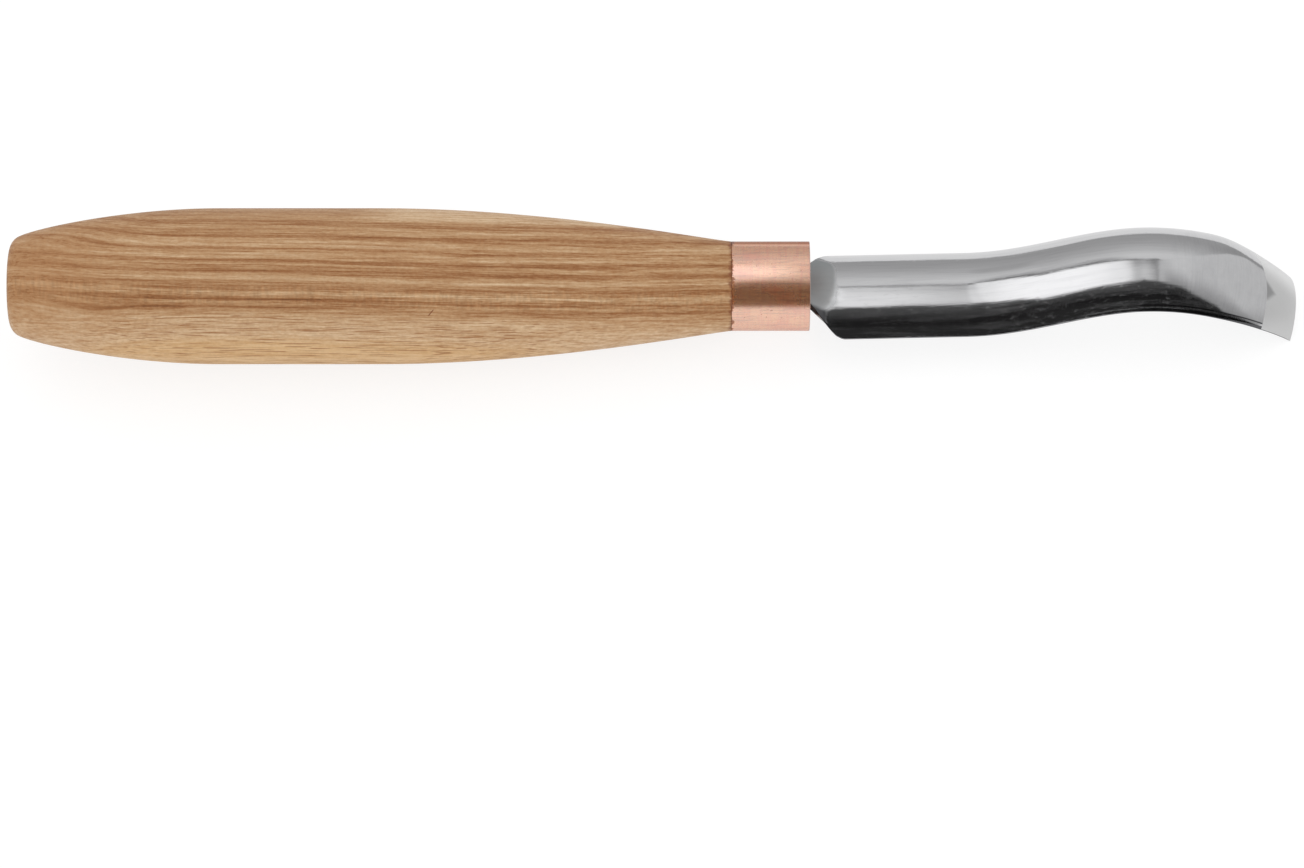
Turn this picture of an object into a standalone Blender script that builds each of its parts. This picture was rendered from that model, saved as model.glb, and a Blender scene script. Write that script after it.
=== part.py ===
"""A bent carving gouge: a turned ash handle, a copper ferrule and a bent steel blade glued in by its tang.

It lies along +X from the butt of the handle to the cutting edge, with the hollow of the blade facing down.
The origin is the centre of the butt face. Lengths are in metres.
"""

import math

import bmesh
import bpy
from mathutils import Vector
from mathutils.geometry import interpolate_bezier

MM = 0.001
FIT_GAP = 0.3 * MM  # between pieces that touch

# Handle
HANDLE_LENGTH = 112.5 * MM  # butt face to the step behind the ferrule
BUTT_FLAT_DIAMETER = 11.2 * MM
BUTT_CORNER_RADIUS = 2.45 * MM
BUTT_FLARE = math.radians(25)  # slope of the side as it leaves the butt corner
SWELL_START_EASE = 3.3 * MM  # how far the side holds that slope
SWELL_END_EASE = 14.1 * MM  # how far it runs out level into the grip
GRIP_START = 32.7 * MM
GRIP_LENGTH = 25.5 * MM
GRIP_DIAMETER = 24.4 * MM
TAPER_START_EASE = 25.5 * MM
TAPER_END_EASE = 3.3 * MM
TAPER_END_SLOPE = math.radians(4.3)  # slope of the side where it meets the ferrule
TENON_RECESS = 0.5 * MM  # end of the tenon behind the mouth of the ferrule
TENON_WALL = 1.3 * MM  # wood left at the corners of the mortise

# Ferrule
FERRULE_DIAMETER = 14.0 * MM
FERRULE_WALL = 1.0 * MM
FERRULE_LENGTH = 12.2 * MM
FERRULE_EDGE_RADIUS = 0.35 * MM

# Tang and its bed of glue
TANG_LENGTH = 46.0 * MM
TANG_TIP_WIDTH = 3.5 * MM
TANG_THICKNESS = 1.6 * MM
TANG_STEP = 0.25 * MM  # length of the step from the tang out to the neck
GLUE_THICKNESS = 0.4 * MM

# Neck and shoulders
NECK_WIDTH = 7.8 * MM
NECK_LENGTH = 4.5 * MM  # seat on the tenon to the straight shank
SHOULDER_LENGTH = 5.8 * MM
SHOULDER_ROUNDING = 0.3  # share of the shoulder that its outer corner takes
ROLL_LENGTH = 4.0 * MM  # over which the flat neck takes up the curve of the hollow
ROLL_HASTE = 2.0  # how much of the curve comes early in that length

# Channel
PLATE_THICKNESS = 2.2 * MM
HOLLOW_RADIUS = 7.3 * MM
HOLLOW_ANGLE = math.radians(116.6)
SHANK_LENGTH = 20.2 * MM
SHANK_RISE = math.radians(2.15)

# Bends: the floor of the hollow rises to a hump and dips to the cutting edge
HUMP_REACH = 28.7 * MM
HUMP_RISE = 6.84 * MM
HUMP_START_EASE = 10.3 * MM
HUMP_TOP_EASE = 10.5 * MM
DIP_REACH = 23.1 * MM
DIP_FALL = 9.15 * MM
DIP_START_EASE = 11.5 * MM
DIP_END_EASE = 3.6 * MM
EDGE_SLOPE = math.radians(39)

# Cutting edge
BEVEL_LENGTH = 6.3 * MM
HEEL_THICKNESS = 1.4 * MM
THINNING_LENGTH = 8.0 * MM  # over which the back is ground thinner towards the heel
THINNING_DELAY = 1.5  # how much of the thinning comes late in that length
EDGE_THICKNESS = 0.05 * MM
EDGE_LEAN = math.radians(25)  # corners of the edge lead a square cut by this angle
LEAN_LENGTH = 20.0 * MM

# Fineness of the curved surfaces
TURNED_STEPS = 40
CURVE_STEPS = 12
EDGE_ROUND_STEPS = 3
BLADE_COLUMNS = 14
NECK_ROWS = 7
SHANK_ROWS = 3
BEND_ROWS = 26
PATH_STEPS = 60
SHARP_ANGLE = math.radians(35)

# Places that follow from the sizes
FERRULE_BACK = HANDLE_LENGTH + FIT_GAP
FERRULE_MOUTH = FERRULE_BACK + FERRULE_LENGTH
TENON_END = FERRULE_MOUTH - TENON_RECESS
TENON_RADIUS = FERRULE_DIAMETER / 2 - FERRULE_WALL - FIT_GAP
BLADE_SEAT = TENON_END + FIT_GAP
TANG_END = BLADE_SEAT - TANG_LENGTH
GLUE_MARGIN = FIT_GAP + GLUE_THICKNESS  # tang to the outside of the glue
MORTISE_MARGIN = GLUE_MARGIN + FIT_GAP  # tang to the wall of the mortise
MORTISE_HALF_HEIGHT = TANG_THICKNESS / 2 + MORTISE_MARGIN
MORTISE_HALF_WIDTH = math.sqrt((TENON_RADIUS - TENON_WALL) ** 2 - MORTISE_HALF_HEIGHT**2)
TANG_ROOT_WIDTH = 2 * (MORTISE_HALF_WIDTH - MORTISE_MARGIN)
HOLLOW_HALF_ARC = HOLLOW_RADIUS * HOLLOW_ANGLE / 2


def clear_scene():
    for item in list(bpy.data.objects):
        bpy.data.objects.remove(item, do_unlink=True)


def new_collection(name):
    collection = bpy.data.collections.new(name)
    bpy.context.scene.collection.children.link(collection)
    return collection


def new_material(name, colour, roughness, metallic):
    material = bpy.data.materials.new(name)
    material.use_nodes = True
    shader = material.node_tree.nodes["Principled BSDF"]
    shader.inputs["Base Color"].default_value = (*colour, 1.0)
    shader.inputs["Roughness"].default_value = roughness
    shader.inputs["Metallic"].default_value = metallic
    return material


def new_object(name, mesh, collection, material=None):
    item = bpy.data.objects.new(name, mesh)
    collection.objects.link(item)
    if material:
        mesh.materials.append(material)
    return item


def apply_modifiers(item):
    """Turns the evaluated shape into the object's own mesh, smooth but for its real edges."""
    graph = bpy.context.evaluated_depsgraph_get()
    mesh = bpy.data.meshes.new_from_object(item.evaluated_get(graph))
    mesh.name = item.name
    item.modifiers.clear()
    item.data = mesh
    mesh.shade_smooth()
    mesh.set_sharp_from_angle(angle=SHARP_ANGLE)


def turn(name, profile, closed, collection, material):
    """A piece turned about the tool's axis from (radius, place) points, front to back down the outside."""
    mesh = bpy.data.meshes.new(name)
    points = [(radius, 0, place) for radius, place in profile]
    edges = [(i, i + 1) for i in range(len(points) - 1)]
    if closed:
        edges.append((len(points) - 1, 0))
    mesh.from_pydata(points, edges, [])
    item = new_object(name, mesh, collection, material)
    item.rotation_euler.y = math.pi / 2
    screw = item.modifiers.new("turning", "SCREW")
    screw.axis = "Z"
    screw.steps = TURNED_STEPS
    screw.render_steps = TURNED_STEPS
    screw.use_merge_vertices = True
    screw.merge_threshold = 0.01 * MM
    return item


def cut(item, cutter):
    boolean = item.modifiers.new("cut", "BOOLEAN")
    boolean.operation = "DIFFERENCE"
    boolean.object = cutter


def arc(centre, radius, start, end, steps):
    """(radius, place) points on an arc; the angle runs from the outward direction towards the front."""
    angles = [start + (end - start) * i / steps for i in range(steps + 1)]
    return [(centre[0] + radius * math.cos(a), centre[1] + radius * math.sin(a)) for a in angles]


def bezier(start, start_handle, end_handle, end, steps):
    return [tuple(p) for p in interpolate_bezier(start, start_handle, end_handle, end, steps + 1)]


def handle_profile():
    """Outline of the handle from the end of the tenon back to the butt."""
    grip = GRIP_DIAMETER / 2
    grip_end = GRIP_START + GRIP_LENGTH
    front = Vector((FERRULE_DIAMETER / 2, HANDLE_LENGTH))
    front_way = Vector((math.sin(TAPER_END_SLOPE), -math.cos(TAPER_END_SLOPE)))
    taper = bezier(
        front,
        front + TAPER_END_EASE * front_way,
        Vector((grip, grip_end + TAPER_START_EASE)),
        Vector((grip, grip_end)),
        CURVE_STEPS,
    )
    corner_centre = (BUTT_FLAT_DIAMETER / 2, BUTT_CORNER_RADIUS)
    corner = arc(corner_centre, BUTT_CORNER_RADIUS, -BUTT_FLARE, -math.pi / 2, CURVE_STEPS // 2)
    corner_top = Vector(corner[0])
    flare_way = Vector((math.sin(BUTT_FLARE), math.cos(BUTT_FLARE)))
    swell = bezier(
        Vector((grip, GRIP_START)),
        Vector((grip, GRIP_START - SWELL_END_EASE)),
        corner_top + SWELL_START_EASE * flare_way,
        corner_top,
        CURVE_STEPS,
    )
    tenon = [(0, TENON_END), (TENON_RADIUS, TENON_END), (TENON_RADIUS, HANDLE_LENGTH)]
    return tenon + taper + swell + corner[1:] + [(0, 0)]


def ferrule_profile():
    """Section through the wall of the ferrule, a tube with all four edges rounded."""
    outside = FERRULE_DIAMETER / 2
    inside = outside - FERRULE_WALL
    round_off = FERRULE_EDGE_RADIUS
    corners = (
        (outside - round_off, FERRULE_MOUTH - round_off, 1),
        (outside - round_off, FERRULE_BACK + round_off, 0),
        (inside + round_off, FERRULE_BACK + round_off, -1),
        (inside + round_off, FERRULE_MOUTH - round_off, -2),
    )
    profile = []
    for radius, place, quarter in corners:
        start = quarter * math.pi / 2
        profile += arc((radius, place), round_off, start, start - math.pi / 2, EDGE_ROUND_STEPS)
    return profile


def tang_half_width(place):
    share = (place - TANG_END) / TANG_LENGTH
    return (TANG_TIP_WIDTH + share * (TANG_ROOT_WIDTH - TANG_TIP_WIDTH)) / 2


def tang_bar(name, margin, front, collection, material=None):
    """A tapered bar that stands out from the tang by the margin on its sides and behind it."""
    mesh = bpy.data.meshes.new(name)
    bar = bmesh.new()
    bmesh.ops.create_cube(bar, size=2)
    half_height = TANG_THICKNESS / 2 + margin
    for vertex in bar.verts:
        place = front if vertex.co.x > 0 else TANG_END - margin
        half_width = tang_half_width(place) + margin
        vertex.co = (place, vertex.co.y * half_width, vertex.co.z * half_height)
    bar.to_mesh(mesh)
    bar.free()
    return new_object(name, mesh, collection, material)


def make_cutter(name, margin, collection):
    cutter = tang_bar(name, margin, FERRULE_MOUTH, collection)
    cutter.display_type = "WIRE"
    cutter.hide_render = True
    return cutter


def blade_path():
    """Floor of the hollow as (x, z) points, from the end of the tang to the cutting edge."""
    floor = -TANG_THICKNESS / 2
    tang_end = Vector((TANG_END, floor))
    shank_start = Vector((BLADE_SEAT + NECK_LENGTH, floor))
    shank_way = Vector((math.cos(SHANK_RISE), math.sin(SHANK_RISE)))
    bend_start = shank_start + SHANK_LENGTH * shank_way
    hump = bend_start + Vector((HUMP_REACH, HUMP_RISE))
    edge = hump + Vector((DIP_REACH, -DIP_FALL))
    edge_way = Vector((math.cos(EDGE_SLOPE), -math.sin(EDGE_SLOPE)))
    level = Vector((1, 0))
    rise = bezier(
        bend_start,
        bend_start + HUMP_START_EASE * shank_way,
        hump - HUMP_TOP_EASE * level,
        hump,
        PATH_STEPS,
    )
    dip = bezier(
        hump,
        hump + DIP_START_EASE * level,
        edge - DIP_END_EASE * edge_way,
        edge,
        PATH_STEPS,
    )
    points = [tang_end, shank_start] + rise + dip[1:]
    return [Vector(p) for p in points]


def measured_path():
    """The path's points with their distances from the end of the tang and their directions."""
    points = blade_path()
    distances = [0.0]
    for before, after in zip(points, points[1:]):
        distances.append(distances[-1] + (after - before).length)
    last = len(points) - 1
    ways = [(points[min(i + 1, last)] - points[max(i - 1, 0)]).normalized() for i in range(last + 1)]
    ways[0] = Vector((1, 0))
    return points, distances, ways


def between(values, distances, distance):
    """The value at a distance, taken between the two nearest points of the path."""
    for i in range(1, len(distances)):
        if distance <= distances[i] or i == len(distances) - 1:
            share = (distance - distances[i - 1]) / (distances[i] - distances[i - 1])
            return values[i - 1].lerp(values[i], share)


def eased(share):
    share = min(max(share, 0), 1)
    return share * share * (3 - 2 * share)


def half_width_at(distance):
    """Half the width of the plate, measured round the floor of the hollow."""
    if distance <= TANG_LENGTH:
        return tang_half_width(TANG_END + distance)
    share = min((distance - TANG_LENGTH - TANG_STEP) / (SHOULDER_LENGTH - TANG_STEP), 1)
    bend = 1 / (2 * SHOULDER_ROUNDING - SHOULDER_ROUNDING**2)
    if share < 1 - SHOULDER_ROUNDING:
        spread = 2 * bend * SHOULDER_ROUNDING * share
    else:
        spread = 1 - bend * (1 - share) ** 2
    return NECK_WIDTH / 2 + spread * (HOLLOW_HALF_ARC - NECK_WIDTH / 2)


def curve_at(distance):
    """Curvature across the plate: none in the tang, that of the hollow past the neck."""
    share = min(max((distance - TANG_LENGTH) / ROLL_LENGTH, 0), 1)
    return (1 - (1 - share) ** ROLL_HASTE) / HOLLOW_RADIUS


def thickness_at(distance, heel, edge):
    if distance >= heel:
        share = (distance - heel) / (edge - heel)
        return HEEL_THICKNESS + share * (EDGE_THICKNESS - HEEL_THICKNESS)
    grown = eased((distance - TANG_LENGTH) / NECK_LENGTH)
    ground = max(1 - (heel - distance) / THINNING_LENGTH, 0) ** THINNING_DELAY
    full = TANG_THICKNESS + grown * (PLATE_THICKNESS - TANG_THICKNESS)
    return full - ground * (PLATE_THICKNESS - HEEL_THICKNESS)


def row_distances(heel, edge):
    """Where the blade's cross rows lie, close together where its shape changes."""
    neck = TANG_LENGTH + TANG_STEP
    neck_run = max(SHOULDER_LENGTH, ROLL_LENGTH, NECK_LENGTH) - TANG_STEP
    bend_start = TANG_LENGTH + NECK_LENGTH + SHANK_LENGTH
    shank_start = neck + neck_run
    rows = [0, TANG_LENGTH]
    rows += [neck + neck_run * i / NECK_ROWS for i in range(NECK_ROWS + 1)]
    rows += [shank_start + (bend_start - shank_start) * i / SHANK_ROWS for i in range(1, SHANK_ROWS + 1)]
    rows += [bend_start + (heel - bend_start) * i / BEND_ROWS for i in range(1, BEND_ROWS + 1)]
    return rows + [edge]


def make_blade(collection, material):
    """A plate rolled and bent along the path, then given its thickness on the outer side."""
    points, distances, ways = measured_path()
    edge = distances[-1]
    heel = edge - BEVEL_LENGTH
    rows = row_distances(heel, edge)
    mesh = bpy.data.meshes.new("blade")
    plate = bmesh.new()
    bmesh.ops.create_grid(plate, x_segments=len(rows) - 1, y_segments=BLADE_COLUMNS, size=1)
    thicknesses = []
    for vertex in plate.verts:
        distance = rows[round((vertex.co.x + 1) / 2 * (len(rows) - 1))]
        floor = between(points, distances, distance)
        way = between(ways, distances, distance).normalized()
        across = vertex.co.y * half_width_at(distance)
        curve = curve_at(distance)
        side = math.sin(across * curve) / curve if curve else across
        drop = (1 - math.cos(across * curve)) / curve if curve else 0
        lead = drop * math.tan(EDGE_LEAN) * eased(1 - (edge - distance) / LEAN_LENGTH)
        x = floor.x + lead * way.x + drop * way.y
        z = floor.y + lead * way.y - drop * way.x
        vertex.co = (x, side, z)
        thicknesses.append(thickness_at(distance, heel, edge))
    plate.to_mesh(mesh)
    plate.free()
    blade = new_object("blade", mesh, collection, material)
    thick = max(thicknesses)
    group = blade.vertex_groups.new(name="thickness")
    for index, thickness in enumerate(thicknesses):
        group.add([index], thickness / thick, "REPLACE")
    solidify = blade.modifiers.new("thickness", "SOLIDIFY")
    solidify.thickness = thick
    solidify.offset = 1
    solidify.vertex_group = group.name
    solidify.use_even_offset = True
    return blade


def make_gouge():
    parts = new_collection("bent_gouge")
    cutters = new_collection("cutters")
    ash = new_material("ash_wood", (0.46, 0.27, 0.13), 0.55, 0.0)
    copper = new_material("copper", (0.76, 0.42, 0.29), 0.3, 1.0)
    steel = new_material("polished_steel", (0.66, 0.66, 0.67), 0.12, 1.0)
    glue = new_material("cured_glue", (0.55, 0.45, 0.26), 0.35, 0.0)
    mortise = make_cutter("mortise_cutter", MORTISE_MARGIN, cutters)
    tang_space = make_cutter("tang_space_cutter", FIT_GAP, cutters)
    handle = turn("handle", handle_profile(), False, parts, ash)
    cut(handle, mortise)
    ferrule = turn("ferrule", ferrule_profile(), True, parts, copper)
    adhesive = tang_bar("tang_adhesive", GLUE_MARGIN, TENON_END, parts, glue)
    cut(adhesive, tang_space)
    blade = make_blade(parts, steel)
    root = new_object("gouge_root", None, parts)
    bpy.context.view_layer.update()
    for piece in (handle, ferrule, adhesive, blade):
        apply_modifiers(piece)
        piece.parent = root


clear_scene()
make_gouge()
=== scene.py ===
"""Looks of a bent carving gouge: turned ash handle, copper ferrule, glued tang and bent steel blade."""

import math
import random

import bpy
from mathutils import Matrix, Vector
from mathutils.geometry import interpolate_bezier


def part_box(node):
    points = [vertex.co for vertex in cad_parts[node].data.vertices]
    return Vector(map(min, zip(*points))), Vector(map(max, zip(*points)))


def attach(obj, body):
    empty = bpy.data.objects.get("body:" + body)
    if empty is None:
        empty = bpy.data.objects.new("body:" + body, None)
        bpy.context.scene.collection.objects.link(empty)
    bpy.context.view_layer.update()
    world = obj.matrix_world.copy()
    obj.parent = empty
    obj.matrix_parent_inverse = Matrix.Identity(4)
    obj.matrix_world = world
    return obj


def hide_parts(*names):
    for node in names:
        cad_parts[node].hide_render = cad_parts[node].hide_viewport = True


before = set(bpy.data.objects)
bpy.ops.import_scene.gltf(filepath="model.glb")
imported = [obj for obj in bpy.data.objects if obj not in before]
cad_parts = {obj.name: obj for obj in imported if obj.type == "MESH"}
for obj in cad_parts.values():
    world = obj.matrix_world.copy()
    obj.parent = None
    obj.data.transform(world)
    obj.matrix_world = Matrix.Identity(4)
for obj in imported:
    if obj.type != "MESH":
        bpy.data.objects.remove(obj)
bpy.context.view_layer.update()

# Handle: one length of ash, turned between centres to a full grip, sanded and rubbed with oil.
# The front end is cut down to a tenon that fills the ferrule, and a tapered mortise for the tang
# runs in from the end of the tenon.
MM = 0.001
FIT_GAP = 0.3 * MM
handle_low, handle_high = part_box("handle")
ferrule_low, ferrule_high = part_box("ferrule")
glue_low, glue_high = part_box("tang_adhesive")

BUTT_FLAT_RADIUS = 5.6 * MM
BUTT_CORNER_RADIUS = 2.45 * MM
BUTT_FLARE = math.radians(25)
SWELL_START_EASE = 3.3 * MM
SWELL_END_EASE = 14.1 * MM
GRIP_START = 32.7 * MM
GRIP_END = 58.2 * MM
GRIP_RADIUS = handle_high.z
TAPER_START_EASE = 25.5 * MM
TAPER_END_EASE = 3.3 * MM
TAPER_END_SLOPE = math.radians(4.3)
FERRULE_RADIUS = ferrule_high.z
FERRULE_WALL = 1.0 * MM
WOOD_END = ferrule_low.x
WOOD_RIM_ROUND = 0.05 * MM
WOOD_RIM_RAGGED = 0.05 * MM
TENON_RADIUS = FERRULE_RADIUS - FERRULE_WALL - FIT_GAP
TENON_END = handle_high.x
TENON_CHAMFER = 0.3 * MM
TANG_TIP_HALF_WIDTH = 1.75 * MM
TANG_THICKNESS = 1.6 * MM
GLUE_BED = glue_high.z - TANG_THICKNESS / 2  # thickness of the glue round the tang
HANDLE_SIDES = 128
BUTT_STEPS = 10
CURVE_STEPS = 28
WOOD_RIM_STEPS = 4
WOOD_RIM_START = math.radians(20)
WOOD_RIM_WAVES = 9
WOOD_RIM_SEED = 4
SMOOTH_ANGLE = math.radians(40)


def deselect_all():
    bpy.ops.object.select_all(action="DESELECT")


def make_active(piece):
    deselect_all()
    piece.select_set(True)
    bpy.context.view_layer.objects.active = piece


def finish_piece(piece, name, material):
    """Names a finished piece, gives it its material and lets it ride with the tool."""
    piece.name = name
    piece.data.name = name
    piece.data.materials.clear()
    piece.data.materials.append(material)
    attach(piece, "root")


def curve(start, start_handle, end_handle, end, steps):
    return interpolate_bezier(start, start_handle, end_handle, end, steps + 1)


def arc(centre, radius, start, end, steps):
    """Points on an arc of an outline, with the angle measured from outwards and the front at 90 degrees."""
    angles = [start + (end - start) * i / steps for i in range(steps + 1)]
    return [centre + radius * Vector((math.sin(a), math.cos(a))) for a in angles]


def handle_outline():
    """Points (place, radius) on the outline of the handle, from the butt face to the end of the tenon."""
    butt_centre = Vector((BUTT_CORNER_RADIUS, BUTT_FLAT_RADIUS))
    butt = arc(butt_centre, BUTT_CORNER_RADIUS, -math.pi / 2, -BUTT_FLARE, BUTT_STEPS)
    flare_way = Vector((math.cos(BUTT_FLARE), math.sin(BUTT_FLARE)))
    grip_start = Vector((GRIP_START, GRIP_RADIUS))
    grip_end = Vector((GRIP_END, GRIP_RADIUS))
    swell = curve(
        butt[-1],
        butt[-1] + SWELL_START_EASE * flare_way,
        grip_start - Vector((SWELL_END_EASE, 0)),
        grip_start,
        CURVE_STEPS,
    )
    wood_end = Vector((WOOD_END, FERRULE_RADIUS))
    taper_way = Vector((math.cos(TAPER_END_SLOPE), -math.sin(TAPER_END_SLOPE)))
    taper = curve(
        grip_end,
        grip_end + Vector((TAPER_START_EASE, 0)),
        wood_end - TAPER_END_EASE * taper_way,
        wood_end - WOOD_RIM_ROUND * taper_way,
        CURVE_STEPS,
    )
    rim_centre = wood_end - Vector((WOOD_RIM_ROUND, WOOD_RIM_ROUND))
    rim = arc(rim_centre, WOOD_RIM_ROUND, WOOD_RIM_START, math.pi / 2, WOOD_RIM_STEPS)
    tenon = [
        Vector((WOOD_END, TENON_RADIUS)),
        Vector((TENON_END - TENON_CHAMFER, TENON_RADIUS)),
        Vector((TENON_END, TENON_RADIUS - TENON_CHAMFER)),
    ]
    return butt + swell[1:] + taper + rim + tenon


def turn_on_lathe(outline, sides):
    """A disc on the first point of the outline, drawn out along the axis ring by ring."""
    deselect_all()
    place, radius = outline[0]
    bpy.ops.mesh.primitive_circle_add(
        vertices=sides,
        radius=radius,
        fill_type="NGON",
        location=(place, 0, 0),
        rotation=(0, -math.pi / 2, 0),
    )
    piece = bpy.context.object
    bpy.ops.object.transform_apply(location=True, rotation=True, scale=True)
    bpy.ops.object.mode_set(mode="EDIT")
    bpy.ops.mesh.select_all(action="SELECT")
    for before, after in zip(outline, outline[1:]):
        step = (after.x - before.x, 0, 0)
        size = after.y / before.y
        bpy.ops.mesh.extrude_region_move(TRANSFORM_OT_translate={"value": step})
        bpy.ops.transform.resize(value=(1, size, size), center_override=(after.x, 0, 0))
    bpy.ops.mesh.select_all(action="SELECT")
    bpy.ops.mesh.normals_make_consistent(inside=False)
    bpy.ops.object.mode_set(mode="OBJECT")
    return piece


def tapered_bar(back, front, back_half_width, front_half_width, half_height):
    """A bar along the axis, narrower at the back, as the tang and all that surrounds it."""
    deselect_all()
    bpy.ops.mesh.primitive_cube_add(size=2, location=((back + front) / 2, 0, 0))
    bar = bpy.context.object
    bar.scale = ((front - back) / 2, front_half_width, half_height)
    bpy.ops.object.transform_apply(location=True, rotation=True, scale=True)
    for vertex in bar.data.vertices:
        vertex.select = vertex.co.x < (back + front) / 2
    bpy.ops.object.mode_set(mode="EDIT")
    bpy.ops.mesh.select_mode(type="VERT")
    narrowing = back_half_width / front_half_width
    bpy.ops.transform.resize(value=(1, narrowing, 1), center_override=(back, 0, 0))
    bpy.ops.object.mode_set(mode="OBJECT")
    return bar


def cut_with(piece, cutter):
    make_active(piece)
    cut = piece.modifiers.new("cut", "BOOLEAN")
    cut.operation = "DIFFERENCE"
    cut.object = cutter
    bpy.ops.object.modifier_apply(modifier=cut.name)
    bpy.data.objects.remove(cutter, do_unlink=True)


def fray_rim(piece):
    """The wood behind the ferrule is worn unevenly, so that the joint shows as a ragged line."""
    random.seed(WOOD_RIM_SEED)
    waves = []
    for _ in range(WOOD_RIM_WAVES):
        waves.append((random.randint(3, 40), random.uniform(0, math.tau), random.uniform(0.3, 1)))
    total = sum(size for _, _, size in waves)
    for vertex in piece.data.vertices:
        radius = math.hypot(vertex.co.y, vertex.co.z)
        if abs(vertex.co.x - WOOD_END) < WOOD_RIM_ROUND and radius > TENON_RADIUS + FIT_GAP:
            turn = math.atan2(vertex.co.y, vertex.co.z)
            wear = sum(size * math.sin(count * turn + start) for count, start, size in waves) / total
            vertex.co.x -= WOOD_RIM_RAGGED * (0.5 + wear)


class Wire:
    """An output socket in a shader's node tree. Sums on wires add Math nodes to the tree."""

    def __init__(self, tree, socket=None):
        self.tree = tree
        self.socket = socket

    def node(self, kind, settings, sockets, output=0):
        """Adds a node, sets it up, then gives its sockets numbers, colours or wires."""
        made = self.tree.nodes.new("ShaderNode" + kind)
        for name, value in settings.items():
            if name == "stops":
                ramp = made.color_ramp.elements
                while len(ramp) < len(value):
                    ramp.new(0.5)
                for stop, (place, colour) in zip(ramp, value):
                    stop.position = place
                    stop.color = colour
            else:
                setattr(made, name, value)
        for name, value in sockets.items():
            if isinstance(value, Wire):
                self.tree.links.new(value.socket, made.inputs[name])
            else:
                made.inputs[name].default_value = value
        return Wire(self.tree, made.outputs[output]) if made.outputs else None

    def maths(self, operation, first, second=0.0):
        return self.node("Math", {"operation": operation}, {0: first, 1: second})

    def __add__(self, other):
        return self.maths("ADD", self, other)

    def __radd__(self, other):
        return self.maths("ADD", other, self)

    def __sub__(self, other):
        return self.maths("SUBTRACT", self, other)

    def __rsub__(self, other):
        return self.maths("SUBTRACT", other, self)

    def __mul__(self, other):
        return self.maths("MULTIPLY", self, other)

    def __rmul__(self, other):
        return self.maths("MULTIPLY", other, self)

    def __truediv__(self, other):
        return self.maths("DIVIDE", self, other)

    def __abs__(self):
        return self.maths("ABSOLUTE", self)

    def larger(self, other):
        return self.maths("MAXIMUM", self, other)

    def smaller(self, other):
        return self.maths("MINIMUM", self, other)

    def step(self, low, high):
        """0 below low, 1 above high and a soft passage between; the other way where low is the higher."""
        if low > high:
            return 1 - self.step(high, low)
        settings = {"interpolation_type": "SMOOTHSTEP"}
        return self.node("MapRange", settings, {"Value": self, "From Min": low, "From Max": high})

    def band(self, low, high, soft):
        """1 between low and high, fading to 0 over the soft distance outside them."""
        return self.step(low - soft, low) * self.step(high + soft, high)

    def read(self, stops):
        """The value at this place, taken between (place, value) stops."""
        low, high = stops[0][0], stops[-1][0]
        shares = [((place - low) / (high - low), (value, value, value, 1)) for place, value in stops]
        return self.node("ValToRGB", {"stops": shares}, {"Fac": (self - low) / (high - low)})

    def apart(self):
        split = self.node("SeparateXYZ", {}, {"Vector": self})
        outputs = split.socket.node.outputs
        return [Wire(self.tree, outputs[i]) for i in range(3)]

    def together(self, x, y, z):
        return self.node("CombineXYZ", {}, {"X": x, "Y": y, "Z": z})

    def place_in_mm(self):
        """Object coordinates in millimetres, one wire for each direction."""
        place = self.node("TexCoord", {}, {}, "Object")
        return self.node("VectorMath", {"operation": "SCALE"}, {0: place, "Scale": 1 / MM}).apart()

    def cloud(self, scale, detail=2.0, rough=0.5, shift=(0, 0, 0)):
        """Noise round 0.5 on this vector, with its grain per unit along each direction."""
        placed = self.node("Mapping", {}, {"Vector": self, "Location": shift, "Scale": scale})
        sockets = {"Vector": placed, "Scale": 1.0, "Detail": detail, "Roughness": rough}
        return self.node("TexNoise", {}, sockets)

    def mix(self, share, first, second, blend="MIX"):
        settings = {"data_type": "RGBA", "blend_type": blend}
        return self.node("Mix", settings, {0: share, 6: first, 7: second}, 2)

    def bump(self, height, strength, distance, under=None):
        sockets = {"Height": height, "Strength": strength, "Distance": distance}
        if under:
            sockets["Normal"] = under
        return self.node("Bump", {}, sockets)


def new_finish(name):
    """A material, its shader and a wire to start from."""
    material = bpy.data.materials.new(name)
    material.use_nodes = True
    return material, material.node_tree.nodes["Principled BSDF"], Wire(material.node_tree)


def feed(shader, **sockets):
    """Sets the shader's sockets to numbers or wires; an underscore in a name stands for a space."""
    for name, value in sockets.items():
        socket = shader.inputs[name.replace("_", " ")]
        if isinstance(value, Wire):
            value.tree.links.new(value.socket, socket)
        else:
            socket.default_value = value


def tint(red, green, blue):
    """A colour written as it looks on a screen, 0 to 255, as linear values."""
    shares = [value / 255 for value in (red, green, blue)]
    linear = [s / 12.92 if s < 0.04045 else ((s + 0.055) / 1.055) ** 2.4 for s in shares]
    return (*linear, 1.0)


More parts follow.
